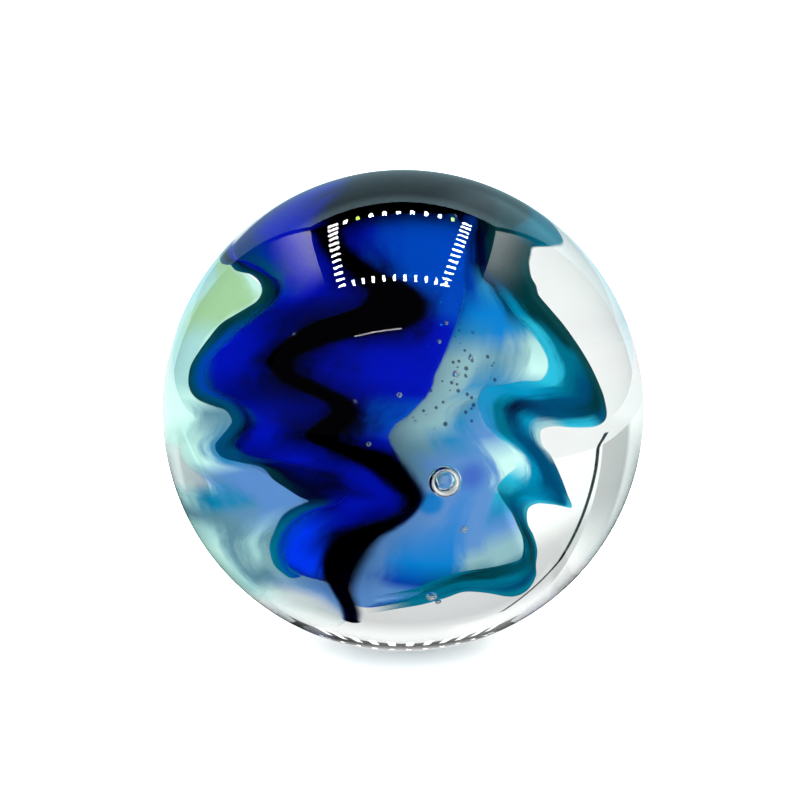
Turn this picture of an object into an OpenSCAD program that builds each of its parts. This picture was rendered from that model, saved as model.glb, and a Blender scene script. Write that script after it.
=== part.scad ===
// Handmade glass marble. Stripes of coloured glass lie in layers on the core, raked into zigzags
// from pole to pole, and a thick casing of clear glass makes the round body over them.
// Frame: millimetres, origin at the ball's centre, +Z up, the striped front faces -Y.

/* [Ball] */
// Diameter of the ball
ball_d = 25; // [20:0.5:40]
// Depth of clear glass over the outermost stripes
casing_t = 3; // [2:0.1:4]

/* [Coloured glass] */
// Thickness of the black zigzag and of the teal fringe
stripe_t = 0.5; // [0.3:0.05:0.8]
// Thickness of the aqua veil
aqua_t = 0.3; // [0.2:0.05:0.6]
// Thickness of the cobalt panel
panel_t = 1; // [0.6:0.05:1.6]
// Thickness of the teal ribbon
ribbon_t = 0.9; // [0.6:0.05:1.6]
// Thickness of the sky-blue veil
sky_t = 0.4; // [0.2:0.05:0.8]
// Clear glass left between one layer and the next
layer_gap = 0.1; // [0.1:0.05:0.3]

/* [Bubbles] */
// Diameter of the large air bubble
bubble_d = 1.5; // [0.6:0.1:2]
// Diameter of the small air bubbles
seed_d = 0.35; // [0.2:0.05:0.6]
// Clear glass between a bubble and the stripes under it
bubble_gap = 0.3; // [0.2:0.05:0.8]

/* [Hidden] */

ball_r = ball_d / 2;
// Outer radius of each layer of stripes, from the casing inwards
stripe_r = ball_r - casing_t;
aqua_r = stripe_r - stripe_t - layer_gap;
panel_r = aqua_r - aqua_t - layer_gap;
sky_r = panel_r - max(panel_t, ribbon_t) - layer_gap;

// Rows between two stations of a stripe, and points round its section
fine_rows = 2;
plain_rows = 1;
narrow_fn = 8;
ribbon_fn = 10;
wide_fn = 14;
broad_fn = 20;
// How full the section is at its edges: 1 is an ellipse, less is squarer
edge_fullness = 0.6;
// Facets round the ball and the bubbles
ball_fn = 96;
bubble_fn = 32;

// A stripe's stations, from the top pole to the bottom pole. Each holds the longitude and latitude
// of its left edge, then of its right edge, in degrees. Longitude 0 is the front, + to the right.
COBALT = [
    [-178, 56, 146, 62], [-162, 50, 124, 70], [-145, 42, 104, 75], [-130, 37, 82, 75], [-120, 34, 64, 71],
    [-108, 38, 51, 67], [-96, 42, 40, 60], [-83, 44, 33, 54], [-72, 44, 29, 48], [-66, 42, 25, 43],
    [-67, 38, 22, 39], [-71, 35, 19, 35], [-75, 30, 17, 32], [-80, 25, 15, 29], [-84, 19, 13, 26],
    [-87, 15, 11, 23], [-88, 11, 10, 20], [-85, 8, 8, 17], [-78, 7, 5, 14], [-70, 8, 2, 11],
    [-62, 7, -1, 9], [-58, 5, -3, 6], [-59, 1, -3, 4], [-63, -3, -2, 2], [-65, -6, -1, 0],
    [-61, -7, 0, -2], [-51, -8, 2, -5], [-43, -10, 4, -9], [-36, -12, 5, -12], [-33, -14, 5, -15],
    [-33, -17, 3, -18], [-37, -22, 0, -21], [-42, -26, -5, -25], [-48, -31, -11, -30],
    [-52, -37, -17, -36], [-54, -42, -22, -42], [-53, -46, -27, -49], [-49, -50, -33, -56],
    [-46, -53, -40, -61]
];
BLACK = [
    [-160, 46, 168, 44], [-150, 56, 142, 54], [-131, 66, 118, 62], [-118, 71, 104, 66],
    [-100, 67, 80, 68], [-82, 62, 62, 74], [-73, 60, 0, 79], [-65, 60, -36, 74], [-60, 60, -40, 68],
    [-49, 57, -33, 64], [-38, 54, -25, 61], [-29, 52, -15, 57], [-21, 48, -4, 53], [-17, 46, 6, 50],
    [-18, 42, 12, 45], [-22, 40, 12, 41], [-28, 38, 8, 37], [-35, 35, -3, 34], [-40, 31, -15, 32],
    [-44, 27, -24, 29], [-46, 24, -30, 26], [-46, 22, -31, 23], [-43, 20, -29, 21], [-39, 18, -24, 20],
    [-32, 16, -18, 18], [-27, 15, -13, 16], [-23, 13, -10, 13], [-24, 10, -10, 11], [-28, 7, -13, 8],
    [-30, 5, -15, 6], [-28, 3, -14, 4], [-22, 1, -9, 3], [-15, -2, -2, 2], [-10, -5, 1, 0],
    [-5, -9, 4, -4], [-2, -11, 7, -9], [-1, -14, 7, -12], [-3, -16, 4, -17], [-9, -18, 0, -21],
    [-16, -20, -5, -25], [-22, -23, -9, -32], [-26, -28, -13, -39], [-29, -35, -17, -45],
    [-29, -43, -20, -51], [-29, -51, -22, -56], [-33, -59, -25, -61]
];
FRINGE = [
    [-160, 36, -166, 42], [-140, 34, -144, 40], [-120, 34, -122, 40], [-103, 37, -91, 44],
    [-94, 40, -79, 46], [-85, 41, -67, 47], [-76, 43, -57, 46], [-67, 43, -51, 45], [-61, 41, -48, 42],
    [-60, 38, -49, 39], [-63, 35, -52, 36], [-67, 32, -55, 32], [-72, 28, -59, 28], [-75, 23, -62, 24],
    [-78, 18, -66, 20], [-80, 14, -67, 17], [-79, 10, -67, 14], [-76, 8, -64, 12], [-71, 7, -61, 12],
    [-63, 7, -55, 12], [-57, 7, -49, 11], [-54, 5, -45, 8], [-55, 3, -45, 5], [-58, 0, -48, 2],
    [-61, -3, -50, -1], [-60, -5, -48, -2], [-57, -6, -45, -3], [-50, -6, -39, -3], [-44, -6, -33, -3],
    [-41, -7, -26, -4], [-39, -9, -20, -6], [-35, -11, -15, -8], [-31, -13, -14, -11],
    [-28, -14, -17, -14], [-29, -15, -22, -16], [-33, -17, -26, -18], [-38, -20, -31, -21],
    [-42, -25, -36, -25], [-46, -30, -39, -30], [-48, -35, -40, -34], [-48, -38, -40, -38],
    [-45, -41, -37, -40]
];
TEAL = [
    [165, 45, 141, 28], [153, 52, 131, 33], [139, 59, 121, 38], [123, 65, 112, 43], [106, 69, 103, 48],
    [87, 69, 95, 51], [69, 67, 87, 51], [55, 63, 79, 50], [46, 58, 72, 47], [43, 54, 70, 44],
    [46, 50, 67, 41], [47, 45, 68, 36], [48, 39, 70, 31], [51, 35, 72, 25], [53, 30, 74, 20],
    [54, 26, 76, 15], [54, 23, 78, 10], [52, 20, 80, 5], [48, 18, 82, 1], [41, 19, 74, 1],
    [33, 19, 59, 4], [27, 19, 48, 5], [24, 16, 43, 4], [24, 12, 42, 2], [26, 7, 44, -1], [30, 3, 47, -4],
    [34, -1, 51, -9], [36, -4, 55, -13], [36, -7, 61, -19], [33, -9, 68, -24], [30, -12, 58, -22],
    [31, -15, 49, -20], [34, -19, 44, -21], [38, -23, 45, -26], [42, -28, 50, -31], [46, -32, 57, -37],
    [50, -37, 64, -43], [51, -41, 75, -49], [45, -42, 85, -55], [36, -43, 71, -57], [27, -44, 48, -55],
    [20, -46, 32, -53], [13, -49, 23, -56], [6, -53, 12, -59], [-3, -56, -1, -61], [-13, -58, -12, -63],
    [-22, -60, -22, -64]
];
SKY = [
    [150, 62, 142, 48], [130, 70, 124, 52], [100, 76, 106, 56], [66, 75, 88, 57], [36, 67, 72, 53],
    [24, 56, 67, 44], [17, 46, 69, 35], [11, 38, 70, 26], [7, 29, 67, 20], [3, 21, 57, 14],
    [-2, 14, 35, 14], [-6, 8, 32, 8], [-6, 2, 37, 3], [-3, -5, 44, -4], [0, -12, 48, -11],
    [2, -18, 44, -16], [0, -25, 44, -23], [-7, -31, 48, -29], [-12, -39, 58, -37], [-19, -47, 68, -44],
    [-23, -53, 60, -52], [-29, -59, 46, -58], [-36, -64, 28, -63], [-45, -68, 8, -68],
    [-56, -71, -12, -71]
];
AQUA = [
    [-131, 33, -128, 38], [-134, 26, -112, 40], [-136, 18, -93, 42], [-137, 12, -67, 42],
    [-138, 7, -63, 38], [-138, 3, -69, 31], [-138, 0, -77, 22], [-138, -3, -79, 15], [-138, -5, -76, 11],
    [-138, -7, -63, 9], [-138, -9, -52, 7], [-138, -11, -53, 3], [-138, -13, -59, -3],
    [-138, -15, -54, -6], [-138, -17, -40, -6], [-138, -19, -30, -8], [-137, -21, -26, -12],
    [-136, -24, -30, -18], [-134, -30, -38, -24], [-130, -38, -43, -30], [-123, -46, -47, -37],
    [-114, -53, -42, -42], [-103, -59, -30, -45], [-89, -63, -27, -51], [-74, -67, -28, -57],
    [-58, -69, -33, -63]
];

// Small bubbles: longitude, latitude and how many times seed_d each one measures
BUBBLE_AIM = [11, -5];
SEEDS = [
    [17, -20, 1], [10, -43, 1.4], [13, -46, 0.8], [-13, 15, 0.6], [-9, 4, 0.7], [-1, 17, 0.8],
    [14, 36, 0.6], [11, 31, 0.6], [-35, 31, 0.6], [15, 22, 1], [20, 26, 0.7]
];

// Direction of a longitude and latitude
function aim(lon, lat) = [cos(lat) * sin(lon), -cos(lat) * cos(lon), sin(lat)];
function unit(v) = v / norm(v);

// Smooth curve from b to c that heads for a and d beyond them, at t from 0 to 1
function smooth(a, b, c, d, t) =
    (2 * b + (c - a) * t + (2 * a - 5 * b + 4 * c - d) * t * t + (3 * b - a - 3 * c + d) * t * t * t) / 2;

// Direction of one edge of a stripe (side 0 is left, 1 is right) at p stations from its top
function edge(stations, side, p) =
    let (
        i = min(floor(p), len(stations) - 2),
        near = [for (k = [i - 1:i + 2]) stations[max(0, min(len(stations) - 1, k))]],
        v = [for (s = near) aim(s[2 * side], s[2 * side + 1])]
    )
    unit(smooth(v[0], v[1], v[2], v[3], p - i));

// Point of a stripe's skin at p stations from its top and w degrees round its flat section
function skin(stations, p, w, r_out, t) =
    let (
        across = (1 - cos(w)) / 2,
        rise = sign(sin(w)) * pow(abs(sin(w)), edge_fullness),
        way = unit(edge(stations, 0, p) * (1 - across) + edge(stations, 1, p) * across)
    )
    way * (r_out - t / 2 + rise * t / 2);

// Stripe of thickness t whose outer side lies on the sphere of radius r_out
module stripe(stations, r_out, t, rows, ring) {
    last = (len(stations) - 1) * rows;
    rings = [for (i = [0:last], j = [0:ring - 1]) skin(stations, i / rows, 360 * j / ring, r_out, t)];
    ends = [for (p = [0, len(stations) - 1]) skin(stations, p, 0, r_out, t) / 2 + skin(stations, p, 180, r_out, t) / 2];
    at = function (i, j) i * ring + j % ring;
    sides = [for (i = [0:last - 1], j = [0:ring - 1])
        each [[at(i, j), at(i, j + 1), at(i + 1, j + 1)], [at(i, j), at(i + 1, j + 1), at(i + 1, j)]]];
    top = [for (j = [0:ring - 1]) [len(rings), at(0, j + 1), at(0, j)]];
    bottom = [for (j = [0:ring - 1]) [len(rings) + 1, at(last, j), at(last, j + 1)]];
    polyhedron(concat(rings, ends), concat(sides, top, bottom));
}

// Air bubble of diameter d that lies just over the stripes
module bubble(lon, lat, d)
    translate(aim(lon, lat) * (stripe_r + bubble_gap + d / 2)) sphere(d = d, $fn = bubble_fn);

module cobalt_panel() color("#0b1fb4") stripe(COBALT, panel_r, panel_t, plain_rows, wide_fn);
module black_zigzag() color("#07070d") stripe(BLACK, stripe_r, stripe_t, fine_rows, narrow_fn);
module teal_fringe() color("#0a4d63") stripe(FRINGE, stripe_r, stripe_t, fine_rows, narrow_fn);
module teal_ribbon() color("#0f7f92") stripe(TEAL, panel_r, ribbon_t, fine_rows, ribbon_fn);
module sky_veil() color("#7fb0d8", 0.8) stripe(SKY, sky_r, sky_t, plain_rows, wide_fn);
module aqua_veil() color("#a9dcd2", 0.7) stripe(AQUA, aqua_r, aqua_t, plain_rows, broad_fn);

module clear_glass() color("#eef6f6", 0.3) difference() {
    sphere(d = ball_d, $fn = ball_fn);
    cobalt_panel();
    black_zigzag();
    teal_fringe();
    teal_ribbon();
    sky_veil();
    aqua_veil();
    bubble(BUBBLE_AIM[0], BUBBLE_AIM[1], bubble_d);
    for (s = SEEDS) bubble(s[0], s[1], seed_d * s[2]);
}

clear_glass();
cobalt_panel();
black_zigzag();
teal_fringe();
teal_ribbon();
sky_veil();
aqua_veil();
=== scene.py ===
"""Glass marble: clear glass over stripes of coloured glass, raked into zigzags from pole to pole."""

import math

import bpy
import numpy as np
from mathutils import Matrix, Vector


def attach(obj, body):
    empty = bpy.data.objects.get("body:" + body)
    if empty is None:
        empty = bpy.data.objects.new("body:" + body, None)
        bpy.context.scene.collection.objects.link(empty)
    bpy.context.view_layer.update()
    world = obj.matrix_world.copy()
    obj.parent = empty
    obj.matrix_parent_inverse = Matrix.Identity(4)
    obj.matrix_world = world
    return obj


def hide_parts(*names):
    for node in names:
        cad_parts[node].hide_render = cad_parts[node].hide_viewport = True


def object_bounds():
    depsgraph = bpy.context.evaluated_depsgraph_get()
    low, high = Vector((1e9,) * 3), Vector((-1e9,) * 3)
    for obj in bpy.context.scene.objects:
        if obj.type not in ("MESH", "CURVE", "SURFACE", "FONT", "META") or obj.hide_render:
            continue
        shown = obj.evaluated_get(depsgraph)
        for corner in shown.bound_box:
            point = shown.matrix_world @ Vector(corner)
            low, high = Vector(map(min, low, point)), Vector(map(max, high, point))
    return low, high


bl_info = {
    "name": "Glass Marble",
    "version": (1, 0, 0),
    "blender": (4, 5, 0),
    "location": "3D View > Sidebar > Marble",
    "description": "Builds a clear glass marble with raked stripes of coloured glass",
    "category": "Add Mesh",
}

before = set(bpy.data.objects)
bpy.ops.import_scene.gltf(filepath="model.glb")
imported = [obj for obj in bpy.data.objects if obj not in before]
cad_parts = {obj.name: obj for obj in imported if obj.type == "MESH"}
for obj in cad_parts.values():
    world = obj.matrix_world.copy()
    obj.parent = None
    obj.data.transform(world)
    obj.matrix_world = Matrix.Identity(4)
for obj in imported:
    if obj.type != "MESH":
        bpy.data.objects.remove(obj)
CAD_LOW, CAD_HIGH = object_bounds()
MM = 0.001

# ---------------------------------------------------------------- stripes
# A stripe's stations, from its top end to its bottom end. Each holds the longitude and latitude of the
# stripe's left edge, then of its right edge, in degrees. Longitude 0 is the front (-Y), + is to the right.
COBALT = [
    [-178, 56, 146, 62], [-162, 50, 124, 70], [-145, 42, 104, 75], [-130, 37, 82, 75], [-120, 34, 64, 71],
    [-108, 38, 51, 67], [-96, 42, 40, 60], [-83, 44, 33, 54], [-72, 44, 29, 48], [-66, 42, 25, 43],
    [-67, 38, 22, 39], [-71, 35, 19, 35], [-75, 30, 17, 32], [-80, 25, 15, 29], [-84, 19, 13, 26],
    [-87, 15, 11, 23], [-88, 11, 10, 20], [-85, 8, 8, 17], [-78, 7, 5, 14], [-70, 8, 2, 11],
    [-62, 7, -1, 9], [-58, 5, -3, 6], [-59, 1, -3, 4], [-63, -3, -2, 2], [-65, -6, -1, 0],
    [-61, -7, 0, -2], [-51, -8, 2, -5], [-43, -10, 4, -9], [-36, -12, 5, -12], [-33, -14, 5, -15],
    [-33, -17, 3, -18], [-37, -22, 0, -21], [-42, -26, -5, -25], [-48, -31, -11, -30],
    [-52, -37, -17, -36], [-54, -42, -22, -42], [-53, -46, -27, -49], [-49, -50, -33, -56],
    [-46, -53, -40, -61],
]
BLACK = [
    [-160, 46, 168, 44], [-150, 56, 142, 54], [-131, 66, 118, 62], [-118, 71, 104, 63],
    [-100, 67, 82, 64], [-82, 62, 62, 70], [-73, 60, 0, 79], [-65, 60, -36, 74], [-60, 60, -40, 68],
    [-49, 57, -33, 64], [-38, 54, -25, 61], [-29, 52, -15, 57], [-21, 48, -4, 53], [-17, 46, 6, 50],
    [-18, 42, 12, 45], [-22, 40, 12, 41], [-28, 38, 8, 37], [-35, 35, -3, 34], [-40, 31, -15, 32],
    [-44, 27, -24, 29], [-46, 24, -30, 26], [-46, 22, -31, 23], [-43, 20, -29, 21], [-39, 18, -24, 20],
    [-32, 16, -18, 18], [-27, 15, -13, 16], [-23, 13, -10, 13], [-24, 10, -10, 11], [-28, 7, -13, 8],
    [-30, 5, -15, 6], [-28, 3, -14, 4], [-22, 1, -9, 3], [-15, -2, -2, 2], [-10, -5, 1, 0],
    [-5, -9, 4, -4], [-2, -11, 7, -9], [-1, -14, 7, -12], [-3, -16, 4, -17], [-9, -18, 0, -21],
    [-16, -20, -5, -25], [-22, -23, -9, -32], [-26, -28, -13, -39], [-29, -35, -16, -45],
    [-29, -43, -17, -51], [-29, -51, -18, -56], [-33, -59, -22, -61],
]
FRINGE = [
    [-160, 36, -166, 42], [-140, 34, -144, 40], [-120, 34, -122, 40], [-103, 37, -91, 44],
    [-94, 40, -79, 46], [-85, 41, -67, 47], [-76, 43, -57, 46], [-67, 43, -51, 45], [-61, 41, -48, 42],
    [-60, 38, -49, 39], [-63, 35, -52, 36], [-67, 32, -55, 32], [-72, 28, -59, 28], [-75, 23, -62, 24],
    [-78, 18, -66, 20], [-80, 14, -67, 17], [-79, 10, -67, 14], [-76, 8, -64, 12], [-71, 7, -61, 12],
    [-63, 7, -55, 12], [-57, 7, -49, 11], [-54, 5, -45, 8], [-55, 3, -45, 5], [-58, 0, -48, 2],
    [-61, -3, -50, -1], [-60, -5, -48, -2], [-57, -6, -45, -3], [-50, -6, -39, -3], [-44, -6, -33, -3],
    [-41, -7, -26, -4], [-39, -9, -20, -6], [-35, -11, -15, -8], [-31, -13, -14, -11],
    [-28, -14, -17, -14], [-30, -15, -22, -16], [-34, -17, -26, -18], [-38, -20, -31, -21],
    [-42, -25, -36, -25], [-46, -30, -39, -30], [-48, -35, -40, -34], [-48, -38, -40, -38],
    [-45, -41, -37, -40],
]
TEAL = [
    [165, 45, 141, 28], [153, 52, 131, 33], [139, 59, 121, 38], [123, 65, 112, 43], [106, 69, 103, 48],
    [87, 69, 95, 51], [69, 67, 87, 51], [55, 63, 79, 50], [46, 58, 72, 47], [43, 54, 70, 44],
    [46, 50, 67, 41], [47, 45, 68, 36], [48, 39, 70, 31], [51, 35, 72, 25], [53, 30, 74, 20],
    [54, 26, 76, 15], [54, 23, 78, 10], [52, 20, 80, 5], [48, 18, 80, 0], [41, 19, 73, -1],
    [33, 19, 61, 1], [27, 19, 52, 3], [24, 16, 47, 3], [24, 12, 46, 1], [26, 7, 47, -2], [30, 3, 50, -5],
    [34, -1, 53, -9], [36, -4, 56, -13], [36, -7, 61, -19], [33, -9, 66, -24], [30, -12, 58, -22],
    [31, -15, 49, -20], [34, -19, 44, -21], [38, -23, 45, -26], [42, -28, 50, -31], [46, -32, 56, -37],
    [50, -37, 61, -43], [51, -41, 69, -48], [45, -42, 76, -54], [36, -43, 71, -57], [27, -44, 48, -55],
    [20, -46, 32, -53], [13, -49, 23, -56], [6, -53, 12, -59], [-3, -56, -1, -61], [-13, -58, -12, -63],
    [-22, -60, -22, -64],
]
SKY = [
    [150, 62, 142, 48], [130, 70, 124, 52], [100, 76, 106, 56], [66, 75, 88, 57], [36, 67, 72, 53],
    [24, 56, 67, 44], [17, 46, 69, 35], [11, 38, 70, 26], [7, 29, 67, 20], [3, 21, 57, 14],
    [-2, 14, 35, 14], [-6, 8, 32, 8], [-6, 2, 37, 3], [-3, -5, 44, -4], [0, -12, 48, -11],
    [1, -18, 44, -16], [-4, -25, 44, -23], [-13, -31, 48, -29], [-19, -39, 58, -37], [-26, -47, 68, -44],
    [-30, -53, 60, -52], [-35, -59, 46, -58], [-40, -64, 28, -63], [-47, -68, 8, -68],
    [-56, -71, -12, -71],
]
AQUA = [
    [-131, 33, -128, 38], [-134, 26, -112, 40], [-136, 18, -92, 42], [-137, 12, -63, 42],
    [-138, 7, -59, 38], [-138, 3, -69, 31], [-138, 0, -77, 22], [-138, -3, -79, 15], [-138, -5, -76, 11],
    [-138, -7, -63, 9], [-138, -9, -52, 7], [-138, -11, -53, 3], [-138, -13, -59, -3],
    [-138, -15, -54, -6], [-138, -17, -40, -6], [-138, -19, -30, -8], [-137, -21, -26, -12],
    [-136, -24, -30, -18], [-134, -30, -38, -24], [-130, -38, -43, -30], [-123, -46, -47, -37],
    [-114, -53, -42, -42], [-103, -59, -30, -45], [-89, -63, -27, -51], [-74, -67, -28, -57],
    [-58, -69, -33, -63],
]
# Colours of the stripes. Each lane lies at its share across the stripe, 0 at the left edge and 1 at the
# right edge, and names its colour at some of the stripe's stations, counted from 0 at the top.
COBALT_LANES = {
    0.06: "3 indigo, 8 petrol, 20 petrol, 21.5 navy, 24 navy, 25.5 petrol, 28 navy, 31 azure, 34 petrol",
    0.25: "10 cobalt, 12 indigo, 14 cobalt, 16 cobalt, 18 indigo, 22 cobalt, 24 indigo, 26 navy, "
          "30 indigo, 32 ultramarine",
    0.5: "3 navy, 6 cobalt, 8 navy, 10 indigo, 13 navy, 17 navy, 19 indigo, 22 navy, 24 cobalt, 26 navy, "
         "28 indigo, 29 cobalt, 31 cobalt, 32 navy, 34 ultramarine",
    0.75: "3 navy, 5 azure, 8 azure, 10 navy, 12 navy, 14 cobalt, 16 cobalt, 18 indigo, 20 navy, 24 navy, "
          "26 cobalt, 29 cobalt, 31 indigo, 32 navy",
    0.95: "9.6 azure, 10.8 cobalt, 17 cobalt, 18 azure, 20 azure, 22 cobalt, 24 indigo, 26 navy",
}
FRINGE_LANES = {
    0.15: "4 petrol, 8 pine, 18 pine, 22 petrol, 26 petrol, 29 pine, 32 navy, 36 petrol, 38 teal",
    0.4: "4 navy, 8 pine, 12 pine, 14 petrol, 26 petrol, 28 navy, 32 navy, 34 petrol, 38 teal",
    0.8: "4 cobalt, 8 navy, 11 petrol, 13 azure, 17 azure, 20 indigo, 22 navy, 25 petrol, 28 indigo, "
         "31 navy, 34 cobalt, 38 azure",
}
# In the left lane, the palest colour at stations 26 and 27 is a painted highlight, not pale glass
TEAL_LANES = {
    0.1: "3 pine, 6 navy, 8 navy, 10 petrol, 12 lagoon, 13 turquoise, 18 turquoise, 20 lagoon, 24 sky, "
         "25 turquoise, 26 ice, 27 ice, 29 turquoise, 31 teal, 40 pine, 43 teal",
    0.25: "12 pine, 14 teal, 18 teal, 20 lagoon, 22 teal, 24 teal, 26 lagoon, 28 lagoon, 30 teal, "
          "32 petrol, 34 pine, 36 pine, 38 teal",
    0.45: "14 pine, 15 teal, 17 petrol, 20 petrol, 21.5 navy, 23.5 petrol, 28 petrol, 30 lagoon, "
          "32 petrol, 34 pine, 38 petrol, 44 teal",
    0.7: "3 teal, 6 pine, 18 pine, 20 petrol, 21 petrol, 22 lagoon, 24 petrol, 29 petrol, 30 turquoise, "
         "33 teal",
    0.93: "3 teal, 6 pine, 17 pine, 18.5 petrol, 19.2 turquoise, 20.2 turquoise, 21 mist, 24.5 mist, "
          "26 petrol, 28 petrol, 29 turquoise, 31 turquoise, 33 teal",
}
# In lane 0.76, the palest colour at stations 13.2 to 14.3, beside the ribbon's notch, is a painted highlight,
# not pale glass
SKY_LANES = {
    0.06: "3 navy, 5 azure, 6 azure, 7 sky, 8 mist, 11 mist, 13 slate, 15 periwinkle",
    0.3: "5 azure, 6.2 cerulean, 7 sky, 8 mist, 11.2 mist, 12.3 slate, 13 periwinkle, 16 periwinkle, "
         "18 cerulean, 19 azure, 20 periwinkle",
    0.5: "4 navy, 5 sky, 6 cerulean, 7 cerulean, 8 slate, 9 sky, 10 mist, 11 mist, 12 sky, 13 periwinkle, "
         "18 cerulean, 19 petrol, 20 sky, 22 azure",
    0.65: "4 pine, 6 petrol, 6.8 sky, 7.4 mist, 8.4 mist, 9.2 sky, 10 slate, 11 sky, 13 periwinkle, "
          "17.4 periwinkle, 18 mist, 19 teal",
    0.76: "5 pine, 6 petrol, 6.6 lagoon, 7.2 aqua, 8.4 ice, 9 lagoon, 12 periwinkle, 13.2 ice, 14.3 ice, "
          "15 turquoise, 16 sky, 17 periwinkle, 17.8 mist, 18.4 mist, 19 teal",
}
AQUA_LANES = {
    0.45: "3 aqua, 7 ice, 12 ice, 14 aqua, 15 aqua, 15.8 slate, 16.6 aqua, 18 ice, 20 aqua, 23 ice",
    0.6: "5 pear, 7 aqua, 9 ice, 12 ice, 13 aqua, 14.1 slate, 14.5 lagoon, 15.3 lagoon, 15.9 slate, "
         "20 slate, 21 ice, 23 mist",
    0.75: "5 pear, 6 aqua, 8 aqua, 9 ice, 10 slate, 11 mist, 12 ice, 13 ice, 14 periwinkle, 16 periwinkle, "
          "18 aqua, 19 aqua, 20 slate, 22 periwinkle",
    0.9: "3 ice, 4 pear, 5 pear, 6 aqua, 8 aqua, 10 slate, 13 sky, 14 periwinkle, 16 periwinkle, 18 slate, "
         "20 mist, 22 periwinkle",
    0.99: "8 ice, 9 mist, 13 sky, 14 periwinkle, 18 slate, 20 mist, 22 periwinkle",
}
# Longitude and latitude of the large bubble, of a brighter spot beside the black zigzag, of a violet spot
# beside the bubble, and of the specks on the cobalt panel and on the sky veil
BUBBLE_AIM = (11.3, -6.5)
INLET = (9.6, -19.3)
IRIS_SPOT = (23.5, -10)
PANEL_SPECKS = (22, 45)
VEIL_SPECKS = (16, 24)
# Small bubbles: longitude, latitude and how many times the seed diameter each one measures
SEEDS = [
    (17, -20, 1), (10, -43, 1.4), (13, -46, 0.8), (-13, 15, 0.6), (-9, 4, 0.7), (-1, 17, 0.8),
    (14, 36, 0.6), (11, 31, 0.6), (-35, 31, 0.6), (15, 22, 1), (20, 26, 0.7),
]


def linear(code):
    """sRGB hex colour, such as #0b1fb4, as linear red, green and blue."""
    parts = [int(code[i:i + 2], 16) / 255 for i in (1, 3, 5)]
    return tuple(c / 12.92 if c <= 0.04045 else ((c + 0.055) / 1.055) ** 2.4 for c in parts)


def aim(lon, lat):
    """Direction of a longitude and latitude in degrees, as arrays or numbers."""
    a, b = np.radians(lon), np.radians(lat)
    return np.stack([np.cos(b) * np.sin(a), -np.cos(b) * np.cos(a), np.sin(b)], -1)


def unit(v):
    """Vectors brought to length 1."""
    return v / np.linalg.norm(v, axis=-1, keepdims=True)


def edge_ways(stations, side, p):
    """Directions of one edge (0 left, 1 right) at the stations p: the Catmull-Rom curve through the
    directions of the four nearest stations, brought back to length 1."""
    s = np.array(stations, float)
    knots = aim(s[:, 2 * side], s[:, 2 * side + 1])
    i = np.minimum(np.floor(p).astype(int), len(s) - 2)
    t = (p - i)[:, None]
    a, b, c, d = (knots[np.clip(i + k, 0, len(s) - 1)] for k in (-1, 0, 1, 2))
    return unit((2 * b + (c - a) * t + (2 * a - 5 * b + 4 * c - d) * t**2
                 + (3 * b - a - 3 * c + d) * t**3) / 2)


# ---------------------------------------------------------------- meshes
# Steps from pole to pole of the ball, of the large bubble and of a small one
BALL_STEPS, BUBBLE_STEPS, SEED_STEPS = 180, 48, 16
# Rows of points from one station of a stripe to the next
STATION_ROWS = 8
# Power that thins a stripe's section towards its edges: the higher, the thinner they run out
EDGE_POWER = 1.6


def put_mesh(name, points, faces, smooth=True):
    """A mesh object at the origin from an array of points and lists of faces."""
    mesh = bpy.data.meshes.new(name)
    mesh.from_pydata(points.tolist(), [], faces)
    mesh.polygons.foreach_set("use_smooth", np.full(len(mesh.polygons), smooth))
    mesh.update()
    piece = bpy.data.objects.new(name, mesh)
    bpy.context.scene.collection.objects.link(piece)
    return piece


def tube_faces(count, ring, first=0):
    """Faces of count rings of ring points each, numbered from first on: an array of the four-cornered
    faces between the rings, and one of the fans that close both ends at two points, which come last."""
    i, j = (g.ravel() for g in np.meshgrid(np.arange(count - 1), np.arange(ring), indexing="ij"))
    k = (j + 1) % ring
    quads = np.stack([i * ring + j, (i + 1) * ring + j, (i + 1) * ring + k, i * ring + k], -1)
    here, last, end = np.arange(ring), (count - 1) * ring, np.full(ring, count * ring)
    after = (here + 1) % ring
    fans = np.concatenate([np.stack([end, here, after], -1),
                           np.stack([end + 1, last + after, last + here], -1)])
    return quads + first, fans + first


def ball_grid(centre, radius, steps, first=0):
    """Points and faces of a sphere: centre + radius * (sin a cos b, sin a sin b, cos a), with a from 0 at
    the top to pi at the bottom in steps, b once round in twice as many, and one point at each pole."""
    a = np.linspace(0, np.pi, steps + 1)[1:-1, None]
    b = np.linspace(0, 2 * np.pi, 2 * steps, endpoint=False)[None, :]
    rings = np.stack([np.sin(a) * np.cos(b), np.sin(a) * np.sin(b), np.cos(a) + 0 * b], -1).reshape(-1, 3)
    points = np.array(centre) + radius * np.vstack([rings, [[0, 0, 1], [0, 0, -1]]])
    return points, *tube_faces(steps - 1, 2 * steps, first)


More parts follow.
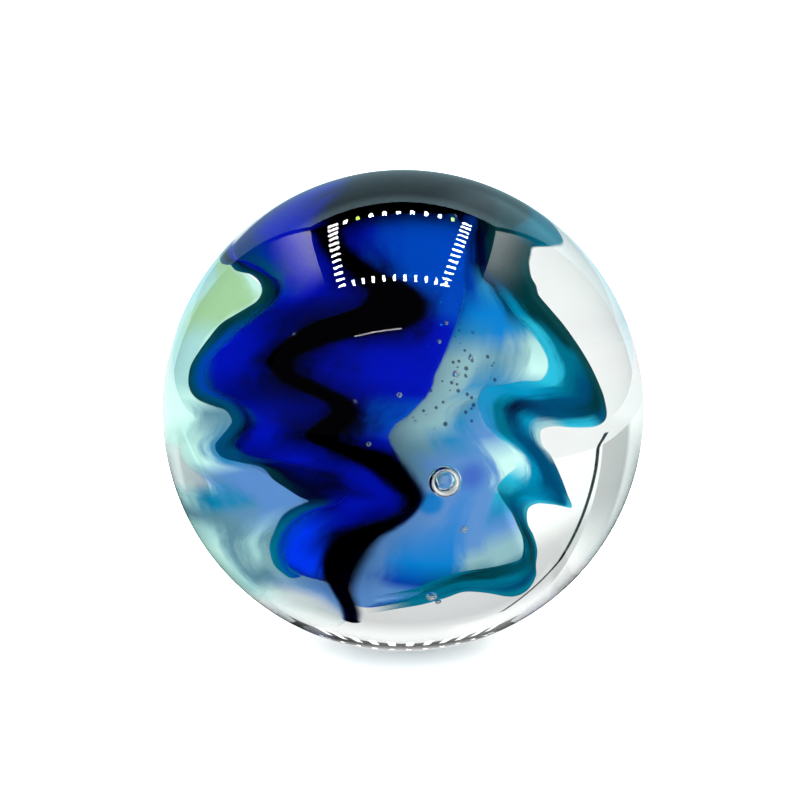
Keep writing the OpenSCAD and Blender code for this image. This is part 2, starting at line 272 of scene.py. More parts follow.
def stripe_piece(name, stations, r_out, t, ring, depth=0.5):
    """A closed flat band under a sphere. At p stations from the top and w once round its section, the
    point lies across = (1 - cos w) / 2 of the way from the left edge to the right edge. Both edges lie
    depth * t under the radius r_out. With b = |sin w| to the edge power, the outer skin rises from there
    by depth * t * b and the inner skin sinks by (1 - depth) * t * b, so the edges run out thin. Both ends
    close in a fan. UV is (across, share of the length); the attributes from_left and from_right hold the
    distance to each edge in metres, and inner is 1 on the inner skin."""
    count = (len(stations) - 1) * STATION_ROWS + 1
    p = np.linspace(0, len(stations) - 1, count)
    w = np.linspace(0, 2 * np.pi, ring, endpoint=False)
    left, right = edge_ways(stations, 0, p)[:, None], edge_ways(stations, 1, p)[:, None]
    across = ((1 - np.cos(w)) / 2)[None, :, None]
    b = np.sign(np.sin(w)) * np.abs(np.sin(w)) ** EDGE_POWER
    rise = (depth * np.maximum(b, 0) + (1 - depth) * np.minimum(b, 0))[None, :, None]
    way = unit(left * (1 - across) + right * across)
    rings = (way * (r_out - t * depth + t * rise)).reshape(-1, 3)
    ends = [rings[k:k + ring][[0, ring // 2]].mean(0) for k in (0, (count - 1) * ring)]
    quads, fans = tube_faces(count, ring)
    piece = put_mesh(name, np.vstack([rings, ends]), quads.tolist() + fans.tolist())
    mesh = piece.data
    width = np.arccos(np.clip((left * right).sum(-1), -1, 1)) * r_out
    spans = {"from_left": (across[..., 0] * width).ravel(),
             "from_right": ((1 - across[..., 0]) * width).ravel(),
             "inner": np.tile((np.arange(ring) > ring // 2).astype(float), count)}
    for label, value in spans.items():
        layer = mesh.attributes.new(label, "FLOAT", "POINT")
        layer.data.foreach_set("value", np.append(value, [0, 0]).astype(np.float32))
    spot = np.stack([np.broadcast_to(across[..., 0], (count, ring)).ravel(),
                     np.repeat(p / (len(stations) - 1), ring)], -1)
    spot = np.vstack([spot, [[0.5, 0], [0.5, 1]]])
    corners = np.zeros(len(mesh.loops), np.int32)
    mesh.loops.foreach_get("vertex_index", corners)
    uv = mesh.uv_layers.new(name="across_along")
    uv.data.foreach_set("uv", spot[corners].astype(np.float32).ravel())
    return piece


# ---------------------------------------------------------------- materials
# Faint cords in the clear glass, one to every 5.6 mm: how many to a metre
CORDS = 180.0
# How the borders between streaks fray: waves of the noise across a stripe and to a station along it, and
# how far a border strays, as a share of the stripe's width
FRAY_ACROSS, FRAY_ALONG, FRAY = 9.0, 0.35, 0.32
# Settings of two nodes. STEP makes Map Range a smooth step, whose inputs are the value, where the step
# begins and ends, and what it gives before and after, or else 0 and 1. MIX mixes two colours: input 0 is
# the share of the second, and 6 and 7 are the colours.
STEP = {"interpolation_type": "SMOOTHSTEP"}
MIX = {"data_type": "RGBA", "out": 2}


def add(tree, kind, inputs=(), out=0, **settings):
    """Adds a node and gives its output out. kind may name its operation too, and settings are its other
    properties. inputs are in order, or by name or number: a socket joins, and a number, a point or a
    colour is set."""
    kind, *operation = kind.split()
    node = tree.nodes.new("ShaderNode" + kind)
    if operation:
        node.operation = operation[0]
    for key, value in settings.items():
        setattr(node, key, value)
    for key, value in inputs.items() if isinstance(inputs, dict) else enumerate(inputs):
        socket = node.inputs[key]
        if isinstance(value, bpy.types.NodeSocket):
            tree.links.new(value, socket)
        else:
            socket.default_value = (*value, 1) if socket.type == "RGBA" else value
    return node.outputs[out]


def new_glass(name, ior):
    """A Principled glass that lets light through, smooth as fire-polished glass is."""
    material = bpy.data.materials.new(name)
    material.use_nodes = True
    tree = material.node_tree
    shader = tree.nodes["Principled BSDF"]
    shader.inputs["Roughness"].default_value = 0.0
    shader.inputs["IOR"].default_value = ior
    shader.inputs["Transmission Weight"].default_value = 1.0
    return material, tree, shader


def clear_casing():
    """Soda-lime glass, fire-polished: index 1.5, no roughness, and faint cords where gathers met. It gives
    sharp small highlights, a bright and dark rim, and a lens that enlarges the stripes by half."""
    material, tree, shader = new_glass("soda-lime glass, fire-polished", 1.5)
    shader.inputs["Base Color"].default_value = (*linear("#fbfffd"), 1)
    where = add(tree, "TexCoord", out="Object")
    cords = add(tree, "TexNoise", {"Vector": where, "Scale": CORDS, "Detail": 1.0})
    bump = add(tree, "Bump", {"Strength": 0.02, "Distance": 0.2 * MM, "Height": cords})
    tree.links.new(bump, shader.inputs["Normal"])
    return material


def stripe_glass(name, paint, body):
    """Coloured soda-lime glass under the casing: same index as the casing, so their join bends nothing and
    shows no gloss of its own. body is the share of light that the dense glass scatters back; paint gives
    its colour and its cover, which thins out to nothing where the rod was pulled into the clear glass."""
    material, tree, shader = new_glass(name, 1.0)
    shader.inputs["Transmission Weight"].default_value = 1 - body
    tone, cover = paint(tree)
    tree.links.new(tone, shader.inputs["Base Color"])
    tree.links.new(cover, shader.inputs["Alpha"])
    return material


def place(tree):
    """Sockets X, 0 to 1 across the stripe, and Y, 0 to 1 along it."""
    return add(tree, "SeparateXYZ", [add(tree, "UVMap", uv_map="across_along")]).node.outputs


def streaks(tree, palette, count, lanes):
    """Colour drawn out along a stripe of count stations, as the rake pulls it. Each lane lies at its share
    across the stripe, 0 at the left edge and 1 at the right edge, and names its colours at chosen
    stations. Lanes blend along and across, and a noise stretched along the stripe frays their borders."""
    spot = place(tree)
    wide = add(tree, "Math MULTIPLY", [spot["X"], FRAY_ACROSS])
    tall = add(tree, "Math MULTIPLY", [spot["Y"], FRAY_ALONG * count])
    pull = add(tree, "CombineXYZ", [wide, tall])
    fray = add(tree, "TexNoise", {"Vector": pull, "Scale": 1.0, "Detail": 6.0, "Roughness": 0.6})
    fray = add(tree, "Math MULTIPLY_ADD", [fray, FRAY, -FRAY / 2])
    across = add(tree, "Math ADD", [spot["X"], fray])
    tone, before = None, 0.0
    for share, stops in lanes.items():
        lane = add(tree, "ValToRGB", [spot["Y"]])
        marks = lane.node.color_ramp.elements
        marks.remove(marks[1])
        for k, stop in enumerate(stops.split(", ")):
            station, name = stop.split()
            mark = marks.new(1.0) if k else marks[0]
            mark.position, mark.color = float(station) / (count - 1), (*getattr(palette, name), 1)
        if tone:
            beyond = add(tree, "MapRange", [across, before, share], **STEP)
            tone = add(tree, "Mix", {0: beyond, 6: tone, 7: lane}, **MIX)
        else:
            tone = lane
        before = share
    return tone


def thin_out(tree, left, right, left_share=0.3, right_share=0.3):
    """Cover of a stripe: none at its edges, full from left and right metres in, or from a share of its
    width in where it is narrow. The inner skin begins where the outer one is full, so it never shows
    through it as a dark line."""
    across = place(tree)["X"]
    inner = add(tree, "Attribute", out="Fac", attribute_name="inner")
    inward = {"from_left": across, "from_right": add(tree, "Math SUBTRACT", [1.0, across])}
    cover = 1.0
    for side, soft, share in (("from_left", left, left_share), ("from_right", right, right_share)):
        far = add(tree, "Attribute", out="Fac", attribute_name=side)
        far = add(tree, "Math MULTIPLY_ADD", [inner, -soft, far])
        far = add(tree, "MapRange", [far, 0.0, soft], **STEP)
        wide = add(tree, "Math MULTIPLY_ADD", [inner, -share, inward[side]])
        wide = add(tree, "MapRange", [wide, 0.0, share], **STEP)
        full = add(tree, "Math MAXIMUM", [far, wide])
        cover = add(tree, "Math MULTIPLY", [cover, full])
    return cover


def distance(tree, where, lon, lat, r):
    """Distance in metres of the socket where from a point of the sphere of radius r."""
    spot = tuple(float(c) for c in aim(lon, lat) * r)
    return add(tree, "VectorMath DISTANCE", [where, spot], "Value")


def specks(tree, under, tint, lon, lat, r, size, pitch, dot, soft=0.06, strength=0.75):
    """Small dots of a colour strewn within size of a point of the sphere of radius r, and fewer over the
    last fifth of it. They are pitch apart and up to dot in radius, all in metres, and the edge of each is
    soft over a share of the pitch."""
    where = add(tree, "TexCoord", out="Object")
    cells = add(tree, "TexVoronoi", {"Vector": where, "Scale": 1 / pitch}, "Distance")
    chance = add(tree, "SeparateXYZ", [cells.node.outputs["Color"]], "X")
    spread = add(tree, "Math MULTIPLY", [chance, dot / pitch])
    outside = add(tree, "Math SUBTRACT", [cells, spread])
    share = add(tree, "MapRange", [outside, 0.0, soft, strength, 0.0], **STEP)
    near = add(tree, "MapRange", [distance(tree, where, lon, lat, r), 0.8 * size, size, 1.0, 0.0], **STEP)
    share = add(tree, "Math MULTIPLY", [share, near])
    return add(tree, "Mix", {0: share, 6: under, 7: tint}, **MIX)


def pool(tree, under, tint, lon, lat, r, size, soft, strength):
    """Colour that pools round a point of the sphere of radius r: full within size, gone at size + soft,
    all in metres."""
    gap = distance(tree, add(tree, "TexCoord", out="Object"), lon, lat, r)
    share = add(tree, "MapRange", [gap, size, size + soft, strength, 0.0], **STEP)
    return add(tree, "Mix", {0: share, 6: under, 7: tint}, **MIX)


# ---------------------------------------------------------------- settings
def length(name, description, default):
    """A length in metres, shown in the scene's units."""
    return bpy.props.FloatProperty(name=name, description=description, default=default, min=0.0,
                                   unit="LENGTH", subtype="DISTANCE", precision=5)


def colour(name, description, code):
    """A colour whose default is an sRGB hex code."""
    return bpy.props.FloatVectorProperty(name=name, description=description, subtype="COLOR", size=3,
                                         min=0.0, max=1.0, default=linear(code))


class MarbleSizes(bpy.types.PropertyGroup):
    """Sizes of the ball, its layers of glass and its bubbles."""
    ball_d: length("Ball", "Diameter of the ball", CAD_HIGH[2] - CAD_LOW[2])
    casing_t: length("Casing", "Clear glass over the outermost stripes", 3 * MM)
    stripe_t: length("Outer stripes", "Thickness of the black zigzag and the teal fringe", 0.5 * MM)
    aqua_t: length("Aqua veil", "Thickness of the aqua veil", 0.3 * MM)
    panel_t: length("Cobalt panel", "Thickness of the cobalt panel", 1 * MM)
    ribbon_t: length("Teal ribbon", "Thickness of the teal ribbon", 0.9 * MM)
    sky_t: length("Sky veil", "Thickness of the sky-blue veil", 0.4 * MM)
    layer_gap: length("Layer gap", "Clear glass between one layer and the next", 0.1 * MM)
    bubble_d: length("Bubble", "Diameter of the large air bubble", 1.5 * MM)
    bubble_rise: length("Bubble rise", "From the outermost layer up to the large bubble's centre", 0.15 * MM)
    seed_d: length("Seeds", "Diameter of the small air bubbles", 0.35 * MM)
    seed_gap: length("Seed gap", "Clear glass between a small bubble and the outermost layer", 0.3 * MM)


class MarbleColours(bpy.types.PropertyGroup):
    """Colours of the glass rods the stripes are pulled from."""
    cobalt: colour("Cobalt", "Full colour of the cobalt panel", "#0211b0")
    ultramarine: colour("Ultramarine", "Bright streaks of the cobalt panel", "#0136f0")
    indigo: colour("Indigo", "Cobalt that thins over black", "#020a70")
    azure: colour("Azure", "Where the cobalt thins over white light", "#0142b4")
    cerulean: colour("Cerulean", "Bright blue of the sky veil and of the specks on the cobalt", "#0a84d6")
    petrol: colour("Petrol", "Where cobalt and teal run together", "#014870")
    navy: colour("Navy", "Edge of the black zigzag, and dark streaks of the other stripes", "#02062e")
    ink: colour("Ink", "Full colour of the black zigzag", "#000003")
    pine: colour("Pine", "Darkest green of the teal ribbon and the fringe", "#03343a")
    teal: colour("Teal", "Main colour of the teal ribbon", "#016c88")
    lagoon: colour("Lagoon", "Lighter streaks of the teal ribbon", "#028cb8")
    turquoise: colour("Turquoise", "Where the teal ribbon thins", "#2cb4d2")
    # The palest colour is the pale glass of the veils, and also a painted highlight on the teal ribbon's left
    # edge and on the sky veil beside the ribbon's notch
    ice: colour("Ice", "Palest glass of the veils and beside the ribbon", "#d6fff8")
    sky: colour("Sky", "Clear blue of the veils", "#2c8cc4")
    periwinkle: colour("Periwinkle", "Lower part of the veils", "#6496d4")
    iris: colour("Iris", "Violet spot of the sky veil", "#4262c6")
    mist: colour("Mist", "Grey-green streaks of the veils", "#98c2ca")
    slate: colour("Slate", "Grey-blue streaks of the veils", "#6c9cb0")
    aqua: colour("Aqua", "Main colour of the aqua veil", "#b8e6e6")
    pear: colour("Pear", "Yellow-green upper part of the aqua veil", "#b2dcae")


class MarbleStage(bpy.types.PropertyGroup):
    """The light tent and the camera."""
    tent_h: length("Tent height", "Height of the tent's roof over the ball's centre", 190 * MM)
    camera_far: length("Camera distance", "From the camera to the ball's centre", 150 * MM)
    camera_lens: bpy.props.FloatProperty(name="Lens", description="Focal length in millimetres",
                                         default=128.07, min=1.0)
    camera_up: bpy.props.FloatProperty(name="Camera height", description="Angle over the floor",
                                       default=math.radians(13), subtype="ANGLE", unit="ROTATION")
    camera_shift: bpy.props.FloatVectorProperty(name="Camera shift", size=2, default=(0.0024, 0.0065),
                                                description="Moves the view right and up, in its widths")
    fill: bpy.props.FloatProperty(name="Fill light", description="Extra light on the matt glass", default=0.9,
                                  min=0.0)
    lamp: bpy.props.FloatProperty(name="Lamps", description="Brightness of the tent's ring of lamps",
                                  default=60.0, min=0.0)


def radii(s):
    """Outer radius of each layer, from the casing inwards, as the solids have them."""
    stripe = s.ball_d / 2 - s.casing_t
    aqua = stripe - s.stripe_t - s.layer_gap
    panel = aqua - s.aqua_t - s.layer_gap
    sky = panel - max(s.panel_t, s.ribbon_t) - s.layer_gap
    return {"stripe": stripe, "aqua": aqua, "panel": panel, "sky": sky}


def finish_piece(piece, material, node):
    """Gives a piece its glass, parents it to the CAD body root, and hides the CAD node it stands for."""
    piece.data.materials.append(material)
    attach(piece, "root")
    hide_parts(node)


# ---------------------------------------------------------------- pieces
class MARBLE_OT_casing(bpy.types.Operator):
    """Clear glass ball with its air bubbles, whose walls face the air inside them"""
    bl_idname = "marble.casing"
    bl_label = "Clear casing"

    def execute(self, context):
        s = context.scene.marble_sizes
        layer = radii(s)["stripe"]
        points, quads, caps = ball_grid((0, 0, 0), s.ball_d / 2, BALL_STEPS)
        cloud, faces = [points], quads.tolist() + caps.tolist()
        bubbles = [(*BUBBLE_AIM, s.bubble_d, s.bubble_rise, BUBBLE_STEPS)]
        bubbles += [(a, b, s.seed_d * k, s.seed_gap + s.seed_d * k / 2, SEED_STEPS) for a, b, k in SEEDS]
        for lon, lat, d, rise, steps in bubbles:
            centre = aim(lon, lat) * (layer + rise)
            points, quads, caps = ball_grid(centre, d / 2, steps, sum(map(len, cloud)))
            cloud.append(points)
            faces += quads[:, ::-1].tolist() + caps[:, ::-1].tolist()
        piece = put_mesh("clear_casing", np.vstack(cloud), faces)
        finish_piece(piece, clear_casing(), "clear_glass")
        return {"FINISHED"}


class MARBLE_OT_cobalt(bpy.types.Operator):
    """Broad cobalt panel"""
    bl_idname = "marble.cobalt"
    bl_label = "Cobalt panel"

    def execute(self, context):
        s, c = context.scene.marble_sizes, context.scene.marble_colours
        r = radii(s)["panel"]

        def paint(tree):
            tone = streaks(tree, c, len(COBALT), COBALT_LANES)
            tone = specks(tree, tone, c.cerulean, *PANEL_SPECKS, r, size=2.6 * MM, pitch=0.45 * MM,
                          dot=0.07 * MM)
            # the bottom end thins to nothing
            tip = add(tree, "MapRange", [place(tree)["Y"], 0.975, 0.93], **STEP)
            cover = thin_out(tree, 0.25 * MM, 0.3 * MM)
            return tone, add(tree, "Math MULTIPLY", [cover, tip])

        # Cobalt rod, pulled thin: dense enough to glow one deep blue, brighter where it was drawn out
        piece = stripe_piece("cobalt_panel_glass", COBALT, r, s.panel_t, ring=40, depth=0.0)
        glass = stripe_glass("cobalt blue glass rod", paint, body=0.85)
        finish_piece(piece, glass, "cobalt_panel")
        return {"FINISHED"}


class MARBLE_OT_black(bpy.types.Operator):
    """Black zigzag over the cobalt"""
    bl_idname = "marble.black"
    bl_label = "Black zigzag"

    def execute(self, context):
        s, c = context.scene.marble_sizes, context.scene.marble_colours
        r = radii(s)["stripe"]

        def paint(tree):
            left, right = (add(tree, "Attribute", out="Fac", attribute_name=side)
                           for side in ("from_left", "from_right"))
            near = add(tree, "Math MINIMUM", [left, right])
            deep = add(tree, "MapRange", [near, 0.1 * MM, 0.6 * MM], **STEP)
            tone = add(tree, "Mix", {0: deep, 6: c.navy, 7: c.ink}, **MIX)
            # near the top end the left side fades over 2 mm
            fade = add(tree, "MapRange", [left, 0.0, 2 * MM], **STEP)
            lower = add(tree, "MapRange", [place(tree)["Y"], 0.12, 0.16], **STEP)
            crown = add(tree, "Math MAXIMUM", [fade, lower])
            cover = thin_out(tree, 0.5 * MM, 0.8 * MM)
            return tone, add(tree, "Math MINIMUM", [cover, crown])

        # Black rod, a blue so dense that it lets no light through: only its thin edge shows the blue
        piece = stripe_piece("black_zigzag_glass", BLACK, r, s.stripe_t, ring=32)
        finish_piece(piece, stripe_glass("black glass rod", paint, body=0.85), "black_zigzag")
        return {"FINISHED"}


class MARBLE_OT_fringe(bpy.types.Operator):
    """Dark teal fringe along the cobalt's left edge"""
    bl_idname = "marble.fringe"
    bl_label = "Teal fringe"

    def execute(self, context):
        s, c = context.scene.marble_sizes, context.scene.marble_colours
        r = radii(s)["stripe"]

        def paint(tree):
            tone = streaks(tree, c, len(FRINGE), FRINGE_LANES)
            return tone, thin_out(tree, 0.15 * MM, 0.6 * MM)

        # Dark teal rod: a dark green outline that turns blue where it lies over the cobalt
        piece = stripe_piece("teal_fringe_glass", FRINGE, r, s.stripe_t, ring=32)
        finish_piece(piece, stripe_glass("dark teal glass rod", paint, body=0.8), "teal_fringe")
        piece.visible_diffuse = False  # casts no shade on the cobalt beside it
        return {"FINISHED"}


class MARBLE_OT_ribbon(bpy.types.Operator):
    """Teal ribbon down the right side"""
    bl_idname = "marble.ribbon"
    bl_label = "Teal ribbon"

    def execute(self, context):
        s, c = context.scene.marble_sizes, context.scene.marble_colours
        r = radii(s)["panel"]

        def paint(tree):
            tone = streaks(tree, c, len(TEAL), TEAL_LANES)
            # the bottom end thins to nothing
            tip = add(tree, "MapRange", [place(tree)["Y"], 1.0, 0.94], **STEP)
            cover = thin_out(tree, 0.15 * MM, 0.2 * MM)
            return tone, add(tree, "Math MULTIPLY", [cover, tip])

        # Teal rod, pulled into a ribbon: turquoise where it thins over white, nearly black where it folds
        piece = stripe_piece("teal_ribbon_glass", TEAL, r, s.ribbon_t, ring=40)
        finish_piece(piece, stripe_glass("teal glass rod", paint, body=0.85), "teal_ribbon")
        piece.visible_diffuse = False  # casts no shade on the veil under it
        return {"FINISHED"}


class MARBLE_OT_veils(bpy.types.Operator):
    """Thin sky-blue veil behind the front and aqua veil on the left"""
    bl_idname = "marble.veils"
    bl_label = "Veils"

    def execute(self, context):
        s, c = context.scene.marble_sizes, context.scene.marble_colours
        r = radii(s)

        def sky(tree):
            tone = streaks(tree, c, len(SKY), SKY_LANES)
            tone = specks(tree, tone, c.navy, *VEIL_SPECKS, r["sky"], size=2.6 * MM, pitch=0.3 * MM,
                          dot=0.1 * MM)
            tone = pool(tree, tone, c.cerulean, *INLET, r["sky"], 0.35 * MM, 0.35 * MM, strength=0.9)
            tone = pool(tree, tone, c.iris, *IRIS_SPOT, r["sky"], 0.1 * MM, 0.9 * MM, strength=0.75)
            return tone, thin_out(tree, 0.1 * MM, 0.4 * MM, left_share=0.1)

        def aqua(tree):
            tone = streaks(tree, c, len(AQUA), AQUA_LANES)
            spot = place(tree)
            # all but the right edge of the bottom end thins by 80%, a patch on the left halfway down by
            # 75%, and the top end to nothing
            tip = add(tree, "Math MULTIPLY", [
                add(tree, "MapRange", [spot["Y"], 0.80, 0.86, 0.0, 0.8], **STEP),
                add(tree, "MapRange", [spot["X"], 0.9, 0.7], **STEP)])
            bare = add(tree, "Math MULTIPLY", [
                add(tree, "MapRange", [spot["Y"], 0.455, 0.5, 0.0, 0.75], **STEP),
                add(tree, "MapRange", [spot["Y"], 0.605, 0.565], **STEP)])
            bare = add(tree, "Math MULTIPLY", [
                bare, add(tree, "MapRange", [spot["X"], 0.65, 0.59], **STEP)])
            thin = add(tree, "Math MAXIMUM", [tip, bare])
            top = add(tree, "MapRange", [spot["Y"], 0.05, 0.075], **STEP)
            kept = add(tree, "Math SUBTRACT", [top, thin])
            cover = thin_out(tree, 1.5 * MM, 0.1 * MM)
            return tone, add(tree, "Math MULTIPLY", [cover, kept])

        # Sky-blue and aqua glass, wrapped on as thin films: pale and cloudy, and the light comes through
        piece = stripe_piece("sky_veil_glass", SKY, r["sky"], s.sky_t, ring=40)
        finish_piece(piece, stripe_glass("sky-blue glass wrap", sky, body=0.7), "sky_veil")
        piece = stripe_piece("aqua_veil_glass", AQUA, r["aqua"], s.aqua_t, ring=48)
        finish_piece(piece, stripe_glass("aqua glass wrap", aqua, body=0.45), "aqua_veil")
        return {"FINISHED"}


# ---------------------------------------------------------------- stage
FLOOR_HALF = 2.0  # half the side of the floor, in metres
# The rest is in shares of the tent's height, from the ball's centre. Half the tent's width, and where its
# back and its front stand:
TENT_SIDE, TENT_BACK, TENT_FRONT = 0.577, 0.727, -0.24
# Seams: the points that each runs through, its half width, and its brightness seen through glass. A dark
# one runs over the floor and up the left of the back, a grey one from the back down the left side, and two
# bright ones meet low in the right corner.
SEAMS = [
    ([(-0.35, 0.45, -0.065), (-0.49, 0.66, -0.065), (-0.53, 0.72, -0.06), (-0.53, 0.72, 0),
      (-0.51, 0.72, 0.15), (-0.485, 0.72, 0.31), (-0.41, 0.72, 0.42), (-0.33, 0.72, 0.53)],
     (0.014, 0, 0), 0.02),
    ([(-0.49, 0.72, 0.7), (-0.57, 0.63, 0.66), (-0.57, 0.48, 0.56), (-0.57, 0.43, 0.44),
      (-0.57, 0.38, 0.36)], (0, 0.006, 0.004), 0.4),
    ([(0.57, 0.5, -0.065), (0.57, 0.6, -0.02), (0.57, 0.67, 0.01), (0.57, 0.715, 0.05)],
     (0, 0, 0.006), 1.6),
    ([(0.565, 0.72, 0.05), (0.56, 0.72, 0.1), (0.55, 0.72, 0.16)], (0.006, 0, 0), 1.6),
]
# Slit between the front curtains: how far off it is, and its corners' longitudes and latitudes in degrees
SLIT_FAR, SLIT_LON, SLIT_LAT = 1.2, (-30, -1, -1, -30), (43.7, 49.7, 50.4, 44.4)
# Ring of lamps, in lines at the back, the front, the left and the right: x and y of the first lamp and of
# the last, how many there are, and half the width and half the depth of one
LAMP_LINES = [
    (-0.33, 0.50, 0.28, 0.50, 9, 0.011, 0.030),
    (-0.353, -0.25, 0.307, -0.27, 10, 0.009, 0.030),
    (-0.41, 0.52, -0.448, -0.24, 12, 0.032, 0.011),
    (0.373, 0.495, 0.302, -0.29, 13, 0.032, 0.010),
]
# How high the ring hangs, and which lamps of the back line are yellow-green
LAMP_HIGH, WARM_LAMPS = 0.99, [8, 1]
# Row of lamps on the back, just under the roof: x of the first and of the last, how many there are, y and
# height of their middle, and half the width and half the height of one
LOW_ROW = (-0.43, 0.37, 11, 0.72, 0.9, 0.017, 0.1)


def seen(thing, *rays):
    """Only these kinds of ray meet the thing."""
    for kind in ("camera", "diffuse", "glossy", "transmission", "shadow", "volume_scatter"):
        setattr(thing, "visible_" + kind, kind in rays)


def sheets(name, corners, material, *rays):
    """Flat four-cornered sheets of the stage, one for each 4 points, met only by these kinds of ray."""
    points = np.array(corners, float).reshape(-1, 3)
    made = put_mesh(name, points, np.arange(len(points)).reshape(-1, 4).tolist(), smooth=False)
    made.data.materials.append(material)
    seen(made, *rays)


def plates(centres, wide, deep):
    """Corners of flat plates: each centre, less or more the half width and the half depth, both vectors."""
    centres, wide, deep = (np.array(v, float) for v in (centres, wide, deep))
    return np.stack([centres - wide - deep, centres + wide - deep,
                     centres + wide + deep, centres - wide + deep], -2)


def fill(tree, strength):
    """Brighter by the fill light where a path has already met matt glass."""
    deep = add(tree, "LightPath", out="Diffuse Depth")
    met = add(tree, "Math MINIMUM", [deep, 1.0])
    lift = add(tree, "Math MULTIPLY_ADD", [met, bpy.context.scene.marble_stage.fill, 1.0])
    return add(tree, "Math MULTIPLY", [strength, lift])


def light_surface(name, glossy, through, tint="#ffffff"):
    """Emission as bright as glossy in reflections, where it has the tint, and white and as bright as
    through when seen through glass. Each is a number, or a function of the tree that gives a socket."""
    material = bpy.data.materials.new(name)
    material.use_nodes = True
    tree = material.node_tree
    tree.nodes.remove(tree.nodes["Principled BSDF"])
    glossy, through = (level(tree) if callable(level) else level for level in (glossy, through))
    inside = add(tree, "LightPath", out="Is Transmission Ray")
    bright = add(tree, "Mix", {0: inside, 2: glossy, 3: fill(tree, through)}, data_type="FLOAT")
    tone = add(tree, "Mix", {0: inside, 6: linear(tint), 7: (1, 1, 1)}, **MIX)
    glow = add(tree, "Emission", {"Color": tone, "Strength": bright})
    tree.links.new(glow, tree.nodes["Material Output"].inputs[0])
    return material


def slope(tree, axis, start, end, low=0.0, high=1.0):
    """Smooth step along an axis, from low at start to high at end, in shares of the tent's height."""
    h = bpy.context.scene.marble_stage.tent_h
    where = add(tree, "SeparateXYZ", [add(tree, "NewGeometry", out="Position")], axis)
    return add(tree, "MapRange", [where, start * h, end * h, low, high], **STEP)


def side_glossy(tree):
    """Brightest along the top, and dark at the front edge and at the back edge."""
    bright = slope(tree, "Z", 0.55, 1.0, 0.0, 3.0)
    front = slope(tree, "Y", TENT_FRONT + 0.05, TENT_FRONT + 0.42)
    bright = add(tree, "Math MULTIPLY", [bright, front])
    return add(tree, "Math MULTIPLY", [bright, slope(tree, "Y", 0.66, 0.62)])


def side_through(tree):
    """Brighter upwards, and bright all over towards the front."""
    upper = slope(tree, "Z", 0.08, 0.38, 0.63, 1.3)
    return add(tree, "Math MAXIMUM", [upper, slope(tree, "Y", 0.52, 0.38, 0.0, 1.2)])


def back_glossy(tree):
    """Brightest at the top and along the floor, and lighter on the right than on the left."""
    upper = slope(tree, "Z", 0.72, 1.0, 0.42, 1.3)
    right, raised = slope(tree, "X", 0.1, 0.28, 0.0, 0.4), slope(tree, "Z", 0.25, 0.4)
    right = add(tree, "Math MULTIPLY", [right, raised])
    upper = add(tree, "Math ADD", [upper, right])
    return add(tree, "Math MAXIMUM", [upper, slope(tree, "Z", 0.12, 0.05)])


def back_through(tree):
    """Bright near the floor and higher up, greyer between them, and dark along the roof."""
    lower, upper = slope(tree, "Z", 0.08, 0.2, 1.15, 0.8), slope(tree, "Z", 0.3, 0.72, 0.6, 1.5)
    bright = add(tree, "Math MAXIMUM", [lower, upper])
    return add(tree, "Math MULTIPLY", [bright, slope(tree, "Z", 0.88, 0.85, 0.15, 1.0)])


def white_board(ball_d):
    """Matt white card, lit for the eye and for the matt glass. Through clear glass it glows evenly, and in
    reflections it glows only behind the ball and in a small spot under it."""
    material = bpy.data.materials.new("matt white board")
    material.use_nodes = True
    tree = material.node_tree
    shader = tree.nodes["Principled BSDF"]
    shader.inputs["Base Color"].default_value = (*linear("#f4f4f2"), 1)
    shader.inputs["Roughness"].default_value = 0.9
    shader.inputs["Specular IOR Level"].default_value = 0.0
    rays = add(tree, "LightPath").node.outputs
    where = add(tree, "NewGeometry", out="Position")
    away = add(tree, "VectorMath DISTANCE", [where, (0, 0, -ball_d / 2)], "Value")
    spot = add(tree, "MapRange", [away, 0.12 * ball_d, 0.2 * ball_d, 1.0, 0.0], **STEP)
    behind = add(tree, "SeparateXYZ", [where], "Y")
    behind = add(tree, "MapRange", [behind, ball_d, 2 * ball_d], **STEP)
    glossy = add(tree, "Math MAXIMUM", [behind, spot])
    glossy = add(tree, "Math MULTIPLY", [glossy, rays["Is Glossy Ray"]])
    inside = add(tree, "Math MAXIMUM", [glossy, fill(tree, rays["Is Transmission Ray"])])
    glow = add(tree, "Emission", {"Strength": inside})
    eye = add(tree, "Math MAXIMUM", [rays["Is Camera Ray"], rays["Is Diffuse Ray"]])
    both = add(tree, "MixShader", [eye, glow, shader.outputs[0]])
    tree.links.new(both, tree.nodes["Material Output"].inputs[0])
    return material


